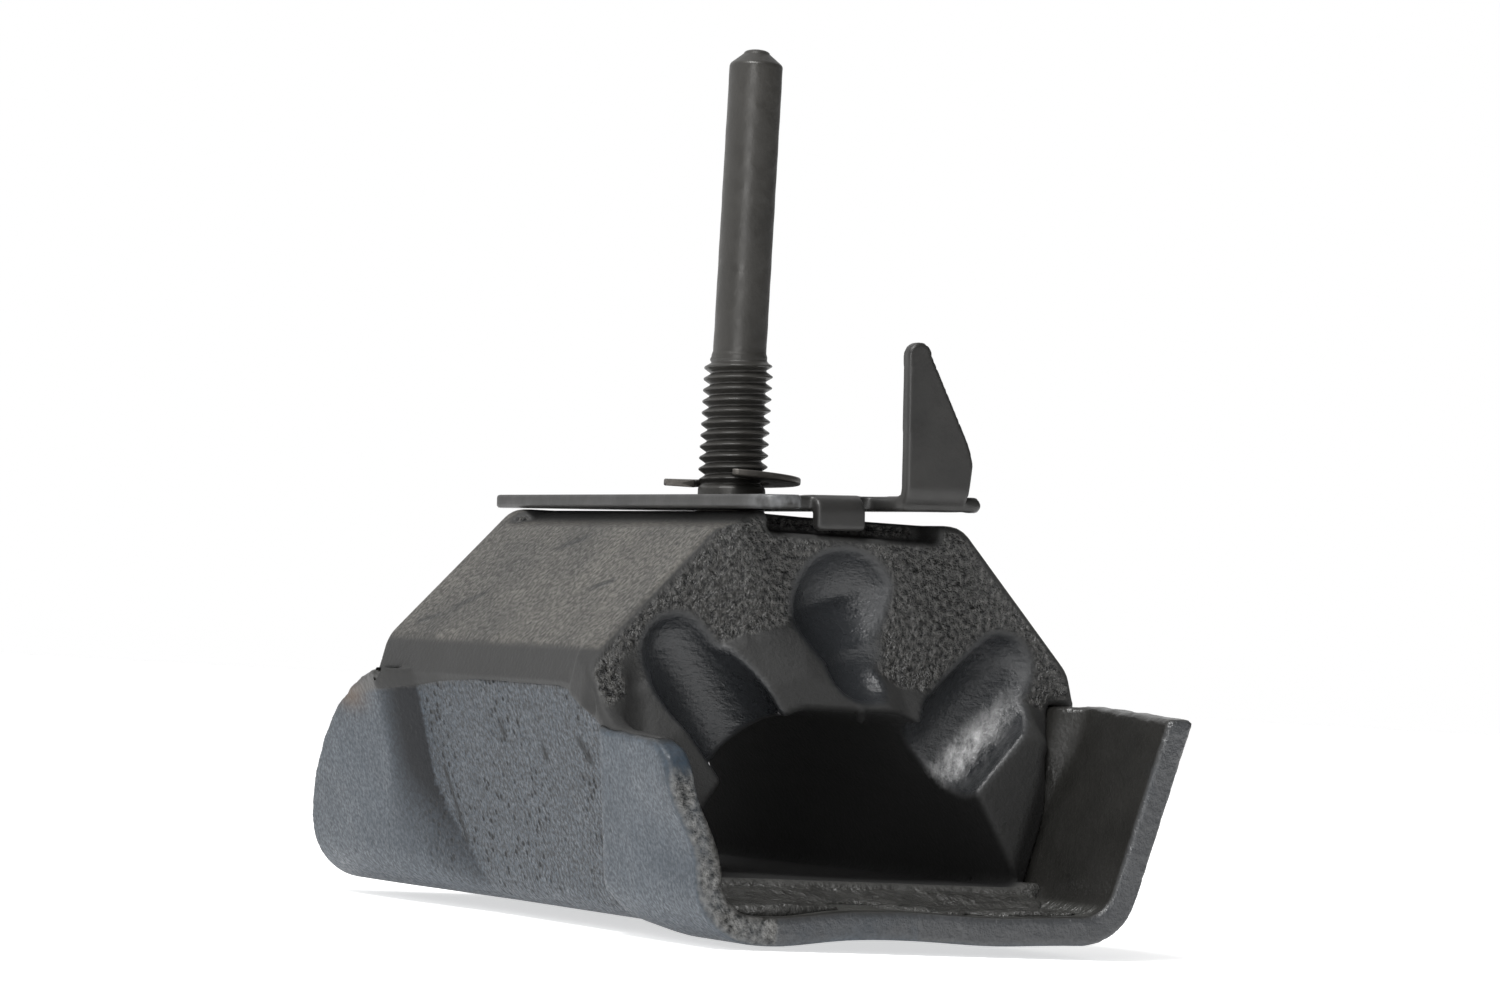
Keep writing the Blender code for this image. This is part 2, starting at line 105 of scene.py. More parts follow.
# Short dark nicks and scratches on the left side: start and end as (y, z), and a width.
PANEL_SCARS = (((-31.4, 26.5), (-34.0, 23.8), 1.1), ((20.4, 20.6), (17.0, 8.7), 0.8),
               ((-4.0, 28.0), (-5.0, 26.8), 0.9), ((-18.0, 25.0), (-18.8, 23.6), 0.9))
SLOPE_SCARS = (((7.0, 56.6), (1.0, 58.4), 0.9), ((24.0, 46.2), (18.0, 48.8), 0.8),
               ((-18.0, 50.2), (-22.5, 51.4), 0.7), ((32.0, 43.6), (27.0, 45.0), 0.7))

# Stud
HEAD_RADIUS, HEAD_LOW, HEAD_HIGH = 10.0, 47.6, 52.7
NECK_RADIUS = 5.45
THREAD_LOW, THREAD_HIGH = 67.4, 88.9
THREAD_PITCH, THREAD_CREST, THREAD_ROOT = 1.814, 5.55, 4.5
PILOT_RADIUS = 4.3
PILOT_LOW, PILOT_HIGH = 90.5, 135.6

# Split washer
WASHER_INNER, WASHER_OUTER, WASHER_THICK = 5.95, 11.0, 1.2
WASHER_START, WASHER_SWEEP = math.radians(242), math.radians(270)
WASHER_HIGH, WASHER_FALL = 70.1, 1.9

# Locating plate, in its own flat frame
PLATE = 2.2
TILT = math.radians(2.8)
PLATE_HEIGHT = 64.3
LEFT, RIGHT, FRONT, BACK = -19.8, 18.8, -48.2, 48.0
PLATE_HOLE = 6.3
RELIEF_X, RELIEF_Y = (-12.6, 4.4), -38.2  # cut in the front edge, round the hook
HOOK_X, HOOK_REACH = (-6.0, 2.4), 3.2
FINGER_X, FINGER_TIP_X = (5.2, 17.0), (5.2, 9.3)
FINGER_SHOULDER, FINGER_HEIGHT = 8.4, 25.9

BACKDROP_WAY = (-0.3, 0.93, 0.2)  # towards the bright backdrop
BACKDROP_FALL = (-0.1, 0.75, 0.06, 1.0)  # turned away, turned to it, and the brightness at each
FLOOR_DROP = 2.2  # the studio floor lies this far below Z = 0, clear of the hanging fold
SADDLE_GRID, RUBBER_GRID, PLATE_GRID = 0.7, 0.7, 0.5


# --- Solids from distance functions ---------------------------------------------------------------

def ramp(value, start, end):
    """0 before start, 1 after end, straight between."""
    return np.clip((value - start) / (end - start), 0.0, 1.0)


def ease(value, start, end):
    """0 before start, 1 after end, and a smooth rise between."""
    share = ramp(value, start, end)
    return share * share * (3 - 2 * share)


def both(a, b, soft=0.0):
    """Where two solids overlap, with the edge between them rounded over a width of soft."""
    if not soft:
        return np.maximum(a, b)
    share = np.clip(0.5 + 0.5 * (a - b) / soft, 0.0, 1.0)
    return b + (a - b) * share + soft * share * (1 - share)


def either(a, b, soft=0.0):
    """Two solids joined, with the corner between them filled."""
    return -both(-a, -b, soft)


def less(a, b, soft=0.0):
    """The first solid with the second one cut out of it."""
    return both(a, -b, soft)


def rod(p, start, end, radius, end_radius=None):
    """Distance to a rod with round ends, which may taper."""
    start, end = np.array(start), np.array(end)
    along = end - start
    share = np.clip((p - start) @ along / (along @ along), 0.0, 1.0)
    thick = radius + ((end_radius or radius) - radius) * share
    return np.linalg.norm(p - start - share[:, None] * along, axis=1) - thick


def lumps(p, scale, seed):
    """Smooth noise from -1 to 1: a few sine waves in seeded directions, with wavelengths about scale."""
    rng = np.random.default_rng(seed)
    total = np.zeros(len(p))
    count = 9
    for _ in range(count):
        way = rng.normal(size=3)
        way *= 2 * math.pi / scale * rng.uniform(0.6, 1.5) / np.linalg.norm(way)
        total += np.sin(p @ way + rng.uniform(0, 2 * math.pi))
    return total / math.sqrt(count)


def surface_of(solid, low, high, step):
    """Points and quads of a solid's surface, by surface nets on a grid, then pulled onto the surface."""
    low, high = np.array(low, float), np.array(high, float)
    counts = np.ceil((high - low) / step).astype(int) + 1
    axes = [low[i] + step * np.arange(counts[i]) for i in range(3)]
    values = np.empty(counts, np.float32)
    flat = np.stack(np.meshgrid(axes[1], axes[2], indexing="ij"), -1).reshape(-1, 2)
    for i, x in enumerate(axes[0]):
        p = np.column_stack([np.full(len(flat), x), flat])
        values[i] = solid(p).reshape(counts[1], counts[2])
    inside = values < 0
    corners = [(i, j, k) for i in (0, 1) for j in (0, 1) for k in (0, 1)]
    size = counts - 1
    window = [inside[i:size[0] + i, j:size[1] + j, k:size[2] + k] for i, j, k in corners]
    total = np.sum(window, axis=0)
    cells = np.argwhere((total > 0) & (total < 8))
    number = np.full(size, -1)
    number[tuple(cells.T)] = np.arange(len(cells))
    edges = [(a, b) for a in corners for b in corners if sum(b) - sum(a) == 1
             and all(q >= p for p, q in zip(a, b))]
    place, hits = np.zeros((len(cells), 3)), np.zeros(len(cells))
    for a, b in edges:
        va = values[tuple((cells + a).T)]
        vb = values[tuple((cells + b).T)]
        cross = (va < 0) != (vb < 0)
        share = np.where(cross, va / np.where(cross, va - vb, 1), 0)
        place += np.where(cross[:, None], np.array(a) + share[:, None] * (np.array(b) - np.array(a)), 0)
        hits += cross
    points = low + step * (cells + place / hits[:, None])
    quads = []
    for axis in range(3):
        one = np.eye(3, dtype=int)[axis]
        u, v = np.eye(3, dtype=int)[(axis + 1) % 3], np.eye(3, dtype=int)[(axis + 2) % 3]
        here = inside[:size[0], :size[1], :size[2]]
        there = inside[one[0]:size[0] + one[0], one[1]:size[1] + one[1], one[2]:size[2] + one[2]]
        found = np.argwhere(here != there)
        found = found[(found[:, (axis + 1) % 3] > 0) & (found[:, (axis + 2) % 3] > 0)]
        ring = [number[tuple((found - d).T)] for d in (u + v, v, 0 * u, u)]
        quad = np.column_stack(ring)
        out = here[tuple(found.T)]
        quads.append(np.where(out[:, None], quad, quad[:, ::-1]))
    faces = np.vstack(quads)
    for _ in range(3):
        here, slope = solid(points), gradient(solid, points)
        pull = here[:, None] * slope / np.maximum((slope ** 2).sum(1), 0.2)[:, None]
        points = points - np.clip(pull, -0.4 * step, 0.4 * step)
    return points, faces


def gradient(solid, points, reach=0.05):
    """Slope of a distance function at points, by central differences."""
    found = []
    for axis in range(3):
        move = np.eye(3)[axis] * reach
        found.append((solid(points + move) - solid(points - move)) / (2 * reach))
    return np.column_stack(found)


def add_mesh(name, points, faces, finish, sharp=None):
    """An object from points in millimetres and faces, smooth shaded."""
    faces = np.asarray(faces)
    mesh = bpy.data.meshes.new(name)
    mesh.vertices.add(len(points))
    mesh.vertices.foreach_set("co", (np.asarray(points) * MM).astype(np.float32).ravel())
    width = faces.shape[1]
    mesh.loops.add(faces.size)
    mesh.loops.foreach_set("vertex_index", faces.astype(np.int32).ravel())
    mesh.polygons.add(len(faces))
    mesh.polygons.foreach_set("loop_start", np.arange(len(faces), dtype=np.int32) * width)
    mesh.update(calc_edges=True)
    mesh.shade_smooth()
    if sharp:
        mesh.set_sharp_from_angle(angle=math.radians(sharp))
    mesh.materials.append(finish)
    obj = bpy.data.objects.new(name, mesh)
    bpy.context.scene.collection.objects.link(obj)
    return obj


def mark(obj, name, values):
    """Stores one number for each point of the mesh, for its material to read."""
    attribute = obj.data.attributes.new(name, "FLOAT", "POINT")
    attribute.data.foreach_set("value", np.asarray(values, np.float32))


# --- Saddle ---------------------------------------------------------------------------------------

def near_crease(z):
    """How far behind PRESS_NEAR the panel's near crease lies: it slants back towards the floor."""
    return 8.5 * (1 - ramp(z, 5.0, 28.0)) - 3.0 * (1 - ramp(z, 0.0, 5.0))


def pressed_in(y, z):
    """How far the wall is pushed inwards; past the panel the far ear leans outwards instead."""
    crease = PRESS_FAR[0] - PRESS_FAR_SLANTS[0] * (1 - ease(z, 0.0, 20.0))
    outer = PRESS_FAR[1] + PRESS_FAR_SLANTS[1] * (1 - ramp(z, 8.0, 22.0))
    far = ramp(y, outer + 1.5, crease) ** 1.8
    near = ease(y - near_crease(z), *PRESS_NEAR)
    panel = PRESSED_IN * near * far * ease(z, -4.0, 7.0)
    return panel - FAR_LEAN * ease(y, PRESS_FAR[1] - 4, FAR_END - 14)


def underside_drop(x, y):
    """How far the floor hangs at the left near fold, and how it ripples along the front lip."""
    hang = HANG * np.exp(-((x + 25.0) / 10.5) ** 2) * (1 - ease(y, -52.0, -34.0))
    ripple = RIPPLE * np.exp(-((x - 13.0) / 10.0) ** 2) * (1 - ease(y, -62.0, -46.0))
    return hang + ripple


def wall_top(x, y):
    """Height of the wall's top edge: lower at the left near ear, and cut away in a curve at the far ears."""
    near = np.where(x < 0, *NEAR_WALL_TOPS)
    ear = near - EAR_DROP * ramp(y, PRESS_NEAR[0], NEAR_END)
    ear = ear + (WALL_TOP - near) * ease(y, PRESS_NEAR[0] - 2, PRESS_NEAR[1] + 11)
    past = ramp(y, FAR_CUT, FAR_END + FAR_OVER)
    cut = FAR_CORNER_LOW + (WALL_TOP - FAR_CORNER_LOW) * (1 - past ** 1.4) ** 0.68
    return np.where(y < FAR_CUT, ear, cut)


def arch(y):
    """Height at which the rubber skin begins on the walls' outer faces."""
    far = 34.8 - 3.6 * ramp(y, 0.0, 40.0) ** 1.7
    near = 34.7 - 5.8 * ease(y, -28.0, -45.0) - 1.6 * ramp(y, -45.0, NEAR_END)
    return np.where(y > -10, far, near)


def channel(p, dent=0.0):
    """Signed distance to the middle of the saddle's folded sheet: negative inside the channel."""
    x, y, z = p.T
    z = z + underside_drop(x, y)
    wide = np.abs(x) + pressed_in(y, z) + dent
    turn = math.pi / 2 - FLARE
    centre = WALL_FOOT - BEND * math.tan(turn / 2)
    floor = STEEL / 2 - z
    wall = (wide - WALL_FOOT - z * math.tan(FLARE)) * math.cos(FLARE) + STEEL / 2
    off_x, off_z = wide - centre, z - BEND
    in_corner = (off_x > 0) & (off_x * math.sin(FLARE) + off_z * math.cos(FLARE) < 0)
    fold = np.hypot(off_x, off_z) - (BEND - STEEL / 2)
    return np.where(in_corner, fold, np.maximum(floor, wall))


def saddle_solid(p):
    """The folded sheet with its nicked edges: the left near lip is waved, and the right one leans out."""
    x, y, z = p.T
    lip = ease(y, -50.0, NEAR_END)
    waist = 0.9 * np.exp(-((z - 11.5) / 4.5) ** 2) - 1.1 * np.exp(-((z - 21.5) / 5.0) ** 2)
    lean = -0.7 * ramp(z, 5.0, 35.0)
    sheet = np.abs(channel(p, lip * np.where(x < 0, waist, lean))) - STEEL / 2
    ends = np.maximum(NEAR_END - y, y - FAR_END - FAR_OVER)
    top = (z - wall_top(x, y)) * np.where(y > FAR_CUT, 0.85, 1.0)
    nicks = 0.08 * lumps(p, 5.0, 3) + 0.05 * lumps(p, 2.0, 4)
    square = both(both(sheet, top + nicks, 1.0), ends + nicks, 1.0)
    round_ear = both(both(sheet, both(top, ends, 7.0) + nicks, 1.0), ends + nicks, 1.0)
    return np.where((x < 0) & (y < PRESS_NEAR[0]), round_ear, square)


def scars(points, lines):
    """1 on short dark nicks and scratches, given as start and end (y, z) with a width, on the left side."""
    total = np.zeros(len(points))
    for start, end, width in lines:
        flat = points[:, 1:]
        along = np.array(end) - start
        share = np.clip((flat - start) @ along / (along @ along), 0.0, 1.0)
        off = np.linalg.norm(flat - start - share[:, None] * along, axis=1)
        total = np.maximum(total, ramp(off, width, width * 0.3))
    return total * (points[:, 0] < 0)


def make_saddle(finish):
    low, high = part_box("saddle")
    pad = Vector((2.8, 2.8, 2.8))
    points, faces = surface_of(saddle_solid, low / MM - pad, high / MM + pad, SADDLE_GRID)
    saddle = add_mesh("saddle_shell", points, faces, finish)
    x, y, z = points.T
    across = channel(points)
    inner_face = ramp(across, -0.8, -1.7)
    mark(saddle, "panel", np.clip(pressed_in(y, z) / PRESSED_IN, 0, 1) * (across > 0.5))
    mark(saddle, "skin", np.maximum(ramp(z - arch(y), -0.3, 0.5), inner_face))
    front = ramp(y, NEAR_END + 0.8, NEAR_END + 0.1)
    mark(saddle, "left_strip", front * (x < -24.0))
    mark(saddle, "front_strip", front * (x >= -24.0))
    # Painted shade: crease_shade marks the left wall's far crease, which the coat colour darkens.
    steep = np.abs(gradient(lambda q: pressed_in(q[:, 1], q[:, 2]), points)[:, 1])
    mark(saddle, "crease_shade", ramp(steep, 0.08, 0.42) * (y > 0) * (x < 0))
    # Painted reflection: floor_skin marks the wrinkled skin on the floor in front of the block, which the
    # coat paints lighter grey.
    low_down = inner_face * ramp(STEEL + 2.0 - z, 0.0, 1.0)
    before_block = ramp(-y, 40.0, 43.0) * ramp(y, NEAR_END + 0.5, NEAR_END + 4.0)
    mark(saddle, "floor_skin", low_down * before_block)
    mark(saddle, "scar", scars(points, PANEL_SCARS))
    rust = np.exp(-(((y - 44.0) / 5.5) ** 2 + ((z - 31.0) / 2.2) ** 2)) * (x < 0)
    mark(saddle, "rust", rust)
    return saddle


# --- Rubber ---------------------------------------------------------------------------------------

def beyond(wide, z, corner, normal):
    """Distance past a slanted plane through a corner (wide, z), along its normal."""
    return (wide - corner[0]) * normal[0] + (z - corner[1]) * normal[1]


def in_collar(p):
    """Depth inside the smooth foot's outline, on the block's end face."""
    x, z = p[:, 0], p[:, 2]
    slope = -beyond(np.abs(x), z, COLLAR_CORNER, COLLAR_NORMAL)
    return np.minimum(np.interp(x, *COLLAR_TOP) - z, slope)


def flute_rods(p):
    """The three grooves on each end face: the left and right ones reach the tunnel, the middle one stops."""
    q = np.column_stack([p[:, 0], np.abs(p[:, 1]), p[:, 2]])
    wide = np.column_stack([np.abs(q[:, 0]), q[:, 1], q[:, 2]])
    shallow, deep = (BLOCK_HALF + FLUTE_RADIUS - depth for depth in FLUTE_DEPTHS)
    top = (FLUTE_TOP[0], shallow, FLUTE_TOP[1])
    foot = (FLUTE_FOOT[0], deep, FLUTE_FOOT[1])
    sides = rod(wide, top, foot, FLUTE_RADIUS)
    middle_ends = [(x, BLOCK_HALF + out, z) for x, out, z in (MIDDLE_TOP, MIDDLE_FOOT)]
    middle = rod(q, *middle_ends, *MIDDLE_RADII)
    return sides, middle


def tunnel_solid(p):
    """Inside the tunnel: roof, two slopes on each side, and the floor; it narrows towards the far end."""
    wide, z = np.abs(p[:, 0]), p[:, 2]
    wide = wide / (1 - TUNNEL_TAPER * ramp(p[:, 1], -COLLAR_OUT, COLLAR_OUT))
    shoulder = beyond(wide, z, TUNNEL_SHOULDER, SHOULDER_NORMAL)
    side = beyond(wide, z, TUNNEL_SIDE, SIDE_NORMAL)
    return both(both(both(z - TUNNEL_ROOF, shoulder, 2.0), side, 2.0), TUNNEL_FLOOR - z, 2.6)


def block_outline(p, walls):
    """The block's cross-section: its top, slopes and bands, and the saddle's walls below them."""
    x, y, z = p.T
    wide = np.abs(x)
    slope = beyond(wide, z, (TOP_HALF, BLOCK_TOP), SLOPE_NORMAL)
    lip = wall_top(x, y) + 0.3
    fall = KINK_HEIGHT - WALL_TOP
    reach = np.hypot(fall, BAND_FOOT - KINK_HALF)
    band = ((wide - KINK_HALF) * fall + (z - KINK_HEIGHT) * (BAND_FOOT - KINK_HALF)) / reach
    over_edge = both(lip - z, band, 0.5)
    wall_or_lip = either(walls, np.where(z > lip - 2, over_edge, 1.0), 0.3)
    tuck = np.where(x < 0, TUCK * ease(z, 60.0, 61.4) * (1 - ease(y, 33.0, 36.5)), 0.0)
    top = BLOCK_TOP + 0.2 * ramp(-x, 4.0, 14.0)
    return both(both(both(z - top, slope + tuck, 1.6), band, 0.8), wall_or_lip, 0.3)


def end_faces(p, walls):
    """Distance past the end faces, which step out to the smooth foot; its rise is shorter on the right."""
    depth = in_collar(p)
    near_wall = 1 - 0.45 * ease(-walls, 5.0, 0.0)
    full = np.where(p[:, 0] > 2.0, 5.5, 9.0)
    rise = COLLAR_OUT - BLOCK_HALF - COLLAR_EDGE
    step = COLLAR_EDGE * ramp(depth, 0.0, 1.3) + rise * ramp(depth, 1.3, full)
    return np.abs(p[:, 1]) - BLOCK_HALF - step * near_wall


def wall_film(p):
    """The thin skin of rubber that laps over the wall's top edge and down its outer face to the arch."""
    x, y, z = p.T
    out = channel(p) - STEEL / 2
    across = np.maximum(out - 0.3, -2.2 - out)
    tall = both(arch(y) - z, z - wall_top(x, y) - 0.4, 0.5)
    long = np.maximum(np.where(x < 0, -42.6, -38.6) - y, y - FAR_CUT)
    return both(both(across, tall, 0.5), long, 0.8)


def apron(p):
    """Rubber that ran out over the saddle's floor in front of the tunnel, wrinkled and thinning."""
    x, y, z = p.T
    flat = np.column_stack([x * 0.6, y, 0 * z])
    rise = 2.0 * ease(y, -54.0, -46.5)
    kerb = 1.9 * ease(y, -47.6, -46.4)
    height = APRON_LOW + rise + kerb + 0.3 * lumps(flat, 6.0, 8)
    edge = NEAR_END + 3.0 + 1.6 * lumps(flat, 16.0, 9)
    inside = channel(p) + STEEL / 2 - 0.4
    return both(both(z - height, inside, 1.2), np.maximum(edge - y, y + BLOCK_HALF + 3.0), 0.8)


def ear_film(p):
    """Rubber that flowed over the left near ear's top edge, thickest against the block."""
    x, y, z = p.T
    top = wall_top(x, y)
    height = 0.3 + 5.5 * ease(y, -52.0, -38.5) ** 1.5
    outer = -x - BAND_FOOT - 0.5 + 0.5 * ease(y, -44.0, -38.0)
    across = both(np.maximum(outer, channel(p) - STEEL / 2 - 0.25), -channel(p) - STEEL / 2 - 0.3, 0.8)
    along = np.maximum(NEAR_END + 6.0 - y, y + 36.0)
    low = top - np.where(channel(p) > 0, 0.6, 6.0)
    slab = both(z - top - height, low - z, 0.5)
    return both(both(slab, across, 1.5), np.maximum(along, x), 0.8)


def rubber_solid(p):
    """The whole moulding: the block, its films on the steel, the cuts into it, and a thread of flash."""
    x, y, z = p.T
    walls = channel(p) + STEEL / 2 + 0.08
    solid = both(block_outline(p, walls), end_faces(p, walls) * 0.9, 1.1)
    for film, soft in ((ear_film(p), 4.5), (wall_film(p), 0.8), (apron(p), 0.6)):
        solid = either(solid, film, soft)
    sides, middle = flute_rods(p)
    notch_sides = np.maximum(NOTCH_X[0] - x, x - NOTCH_X[1])
    notch_back = both(BLOCK_TOP - NOTCH_DEPTH - z, y - NOTCH_BACK, 1.0)
    notch = both(notch_sides, notch_back, 1.4)
    neck = np.maximum(np.hypot(x, y) - NECK_RADIUS - 0.25, NECK_FLOOR - z)
    for cut, soft in ((sides, 0.8), (middle, 0.8), (tunnel_solid(p), 1.2), (notch, 0.8), (neck, 0.6)):
        solid = less(solid, cut, soft)
    flash = rod(p, (1.4, -44.0, 33.4), (1.7, -43.6, 32.4), 0.7)
    return either(solid, flash, 0.6)


def make_rubber(finish):
    low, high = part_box("rubber_block")
    pad = Vector((2.8, 26.0, 2.8))
    points, faces = surface_of(rubber_solid, low / MM - pad, high / MM + pad, RUBBER_GRID)
    rubber = add_mesh("rubber_body", points, faces, finish)
    x, y, z = points.T
    facing = np.abs(gradient(rubber_solid, points)[:, 1])
    sides, middle = flute_rods(points)
    outside = ramp(-in_collar(points), -0.6, 0.2)
    rough = ease(facing, 0.75, 0.95) * outside * ramp(np.minimum(sides, middle), 0.2, 1.2)
    mark(rubber, "moulded_face", rough)
    above_kink = ramp(z, KINK_HEIGHT - 0.4, KINK_HEIGHT + 0.6)
    off_top = ramp(np.abs(x), TOP_HALF - 2, TOP_HALF)
    mark(rubber, "slope", above_kink * ramp(facing, 0.6, 0.3) * off_top)
    mark(rubber, "scar", scars(points, SLOPE_SCARS))
    mark(rubber, "groove", 1 - ramp(np.minimum(sides, middle), 0.0, 0.9))
    # Painted shade: the material makes the tunnel's inside near-black.
    mark(rubber, "tunnel", 1 - ramp(tunnel_solid(points), 0.0, 0.9))
    mark(rubber, "apron", ramp(-y, COLLAR_OUT - 0.5, COLLAR_OUT + 0.8) * ramp(12.0 - z, 0.0, 2.0))
    # Painted highlight: a pale streaky band along the right flute's lower side, where a highlight falls.
    lower_side = beyond(x, z, FLUTE_FOOT, (0.777, -0.63))
    highlight_band = np.exp(-((lower_side - 4.6) / 1.7) ** 2 - ((z - 28.0) / 6.0) ** 2) * (y < 0)
    mark(rubber, "painted_highlight", highlight_band * ramp(sides, 1.0, 0.2))
    return rubber


# --- Stud and washer ------------------------------------------------------------------------------

def add_lofted(name, rings, finish, sharp):
    """A closed solid lofted through rings of points, with a fan of triangles at each end."""
    rings = np.asarray(rings)
    rows, count = rings.shape[:2]
    points = np.vstack([rings.reshape(-1, 3), rings[0].mean(0), rings[-1].mean(0)])
    i, j = np.meshgrid(np.arange(rows - 1), np.arange(count), indexing="ij")
    a, b = i * count + j, i * count + (j + 1) % count
    quads = np.stack([a, b, b + count, a + count], -1).reshape(-1, 4)
    j = np.arange(count)
    first, last = rows * count, rows * count + 1
    low = np.column_stack([(j + 1) % count, j, np.full(count, first)])
    top_row = (rows - 1) * count
    high = np.column_stack([top_row + j, top_row + (j + 1) % count, np.full(count, last)])
    halves = np.vstack([quads[:, [0, 1, 2]], quads[:, [0, 2, 3]], low, high])
    return add_mesh(name, points, halves, finish, sharp)


def thread_radius(z, angle):
    """Radius of the right-hand 7/16-14 thread at a height and an angle round the stud."""
    phase = (z / THREAD_PITCH - angle / (2 * math.pi)) % 1.0
    rise = 1 - np.abs(2 * phase - 1)
    flank = np.clip((rise - 0.12) / 0.74, 0.0, 1.0)
    full = THREAD_ROOT + (THREAD_CREST - THREAD_ROOT) * flank
    low_end = ease(z, THREAD_LOW, THREAD_LOW + 2.0)
    high_end = 1 - ease(z, THREAD_HIGH - 1.5, THREAD_HIGH)
    blank = NECK_RADIUS * (1 - low_end) + THREAD_ROOT * low_end
    return blank + (full - blank) * np.minimum(low_end, high_end)


def pilot_tip():
    """Radius and height up the pilot's end: a rounded shoulder, a cone and a small crown."""
    rings = []
    for share in np.linspace(0, 1, 6):
        bend = share * math.radians(46)
        rings.append((PILOT_RADIUS - 0.9 * (1 - math.cos(bend)), 135.75 + 0.9 * math.sin(bend)))
    for share in np.linspace(0.15, 1, 6):
        rings.append((PILOT_RADIUS - 0.28 - 1.9 * share, 136.4 + 1.55 * share))
    for share in np.linspace(0.2, 1, 5):
        bend = share * math.pi / 2
        rings.append((2.12 - 1.7 * (1 - math.cos(bend)), 137.95 + 0.7 * math.sin(bend)))
    return rings


def make_stud(finish):
    steps = 96
    turns = np.arange(steps) * 2 * math.pi / steps
    rings = [(HEAD_RADIUS - 0.6, HEAD_LOW), (HEAD_RADIUS - 0.15, HEAD_LOW + 0.2),
             (HEAD_RADIUS, HEAD_LOW + 0.6), (HEAD_RADIUS, HEAD_HIGH - 0.6),
             (HEAD_RADIUS - 0.15, HEAD_HIGH - 0.2), (HEAD_RADIUS - 0.6, HEAD_HIGH),
             (5.9, HEAD_HIGH), (NECK_RADIUS, HEAD_HIGH + 0.4)]
    heights = np.arange(THREAD_LOW - 0.2, THREAD_HIGH + 0.05, THREAD_PITCH / 14)
    rings += [(thread_radius(z, turns), z) for z in heights]
    rings += [(THREAD_ROOT - 0.2 * ease(share, 0, 1), THREAD_HIGH + 0.1 + 0.8 * share)
              for share in np.linspace(0, 1, 5)]
    for z in np.linspace(PILOT_LOW, PILOT_HIGH, 60):
        wave = 0.012 * np.sin(3 * turns + z * 0.7) + 0.012 * np.sin(5 * turns - z * 1.3)
        rings.append((PILOT_RADIUS + wave, z))
    rings += pilot_tip()
    solid = [np.column_stack([r * np.cos(turns), r * np.sin(turns), np.full(steps, z)])
             for r, z in rings]
    return add_lofted("stud_bar", solid, finish, 50)


def washer_section():
    """The ring's rounded cross-section, as radius and height about its middle."""
    half = WASHER_THICK / 2
    corners = ((WASHER_INNER + 0.25, -half + 0.2, 0.25, 180), (WASHER_OUTER - 0.3, -half + 0.3, 0.3, 270),
               (WASHER_OUTER - 0.3, half - 0.3, 0.3, 0), (WASHER_INNER + 0.25, half - 0.2, 0.25, 90))
    section = []
    for radius, height, reach, first in corners:
        for k in range(4):
            bend = math.radians(first + 30 * k)
            section.append((radius + reach * math.cos(bend), height + reach * math.sin(bend) * 0.9))
    return section


def make_washer(finish):
    middle = (WASHER_INNER + WASHER_OUTER) / 2
    section = washer_section()
    rings = []
    for share in np.linspace(0, 1, 91):
        angle = WASHER_START + WASHER_SWEEP * share
        z = WASHER_HIGH - WASHER_FALL * share
        shrink = 1 - 0.12 * max(0.0, 1 - min(share, 1 - share) / 0.006)
        ring = []
        for radius, up in section:
            reach = middle + (radius - middle) * shrink
            ring.append((reach * math.cos(angle), reach * math.sin(angle), z + up * shrink))
        rings.append(ring[::-1])
    return add_lofted("washer_ring", rings, finish, 50)


# --- Locating plate -------------------------------------------------------------------------------

def plate_flat(q):
    """The flat sheet, with its relief and its hole; its front edge is set back on the right."""
    x, y, z = q.T
    outline = both(both(LEFT - x, FRONT - y, 3.4), both(x - RIGHT, y - BACK, 4.0), 3.0)
    short = both(FRONT + 1.4 - y, x - RIGHT, 1.5)
    outline = np.where(x > RELIEF_X[0] + 6, both(outline, short, 0.2), outline)
    relief = both(both(RELIEF_X[0] - x, x - RELIEF_X[1], 0.4), y - RELIEF_Y, 1.6)
    outline = less(outline, relief, 2.2)
    outline = less(outline, np.hypot(x, y) - PLATE_HOLE, 0.2)
    return both(outline, np.abs(z - PLATE / 2) - PLATE / 2, 0.5)


def bent_sheet(y, z, turn_y, radius, up):
    """Distance to the middle of a sheet that comes from +Y, turns up (1) or down (-1) and runs straight."""
    middle = PLATE / 2
    height = (z - middle) * up
    cy, cz = turn_y, radius
    flat = np.where(y > cy, np.abs(height), 1e3)
    wall = np.where(height > cz, np.abs(y - (cy - radius)), 1e3)
    curve = np.where((y <= cy) & (height <= cz), np.abs(np.hypot(y - cy, height - cz) - radius), 1e3)
    return np.minimum(np.minimum(flat, wall), curve)


def finger_solid(q):
    """The upright finger: a tapered tongue with a round tip, folded up from the front edge."""
    x, y, z = q.T
    radius = 1.4 + PLATE / 2
    turn_y = FRONT + PLATE / 2 + radius
    sheet = bent_sheet(y, z, turn_y, radius, 1) - PLATE / 2
    tip = (FINGER_TIP_X[1] - FINGER_TIP_X[0]) / 2
    rise = FINGER_HEIGHT - tip - FINGER_SHOULDER
    lean = math.atan2(FINGER_X[1] - FINGER_TIP_X[1], rise)
    slant = (x - FINGER_X[1]) * math.cos(lean) + (z - FINGER_SHOULDER) * math.sin(lean)
    sides = both(FINGER_X[0] - x, both(x - FINGER_X[1], slant, 1.5), 0.3)
    below = x - FINGER_X[1] + 0.8 * ramp(z, FINGER_SHOULDER, 2.0)
    sides = np.maximum(sides, below * 0.95)
    cap = np.hypot(x - (FINGER_TIP_X[0] + tip), z - FINGER_HEIGHT + tip) - tip
    body = np.where(z > FINGER_HEIGHT - tip, cap, sides)
    reach = np.maximum(y - turn_y - 3.0, -0.5 - z)
    return both(both(sheet, body, 0.5), reach)


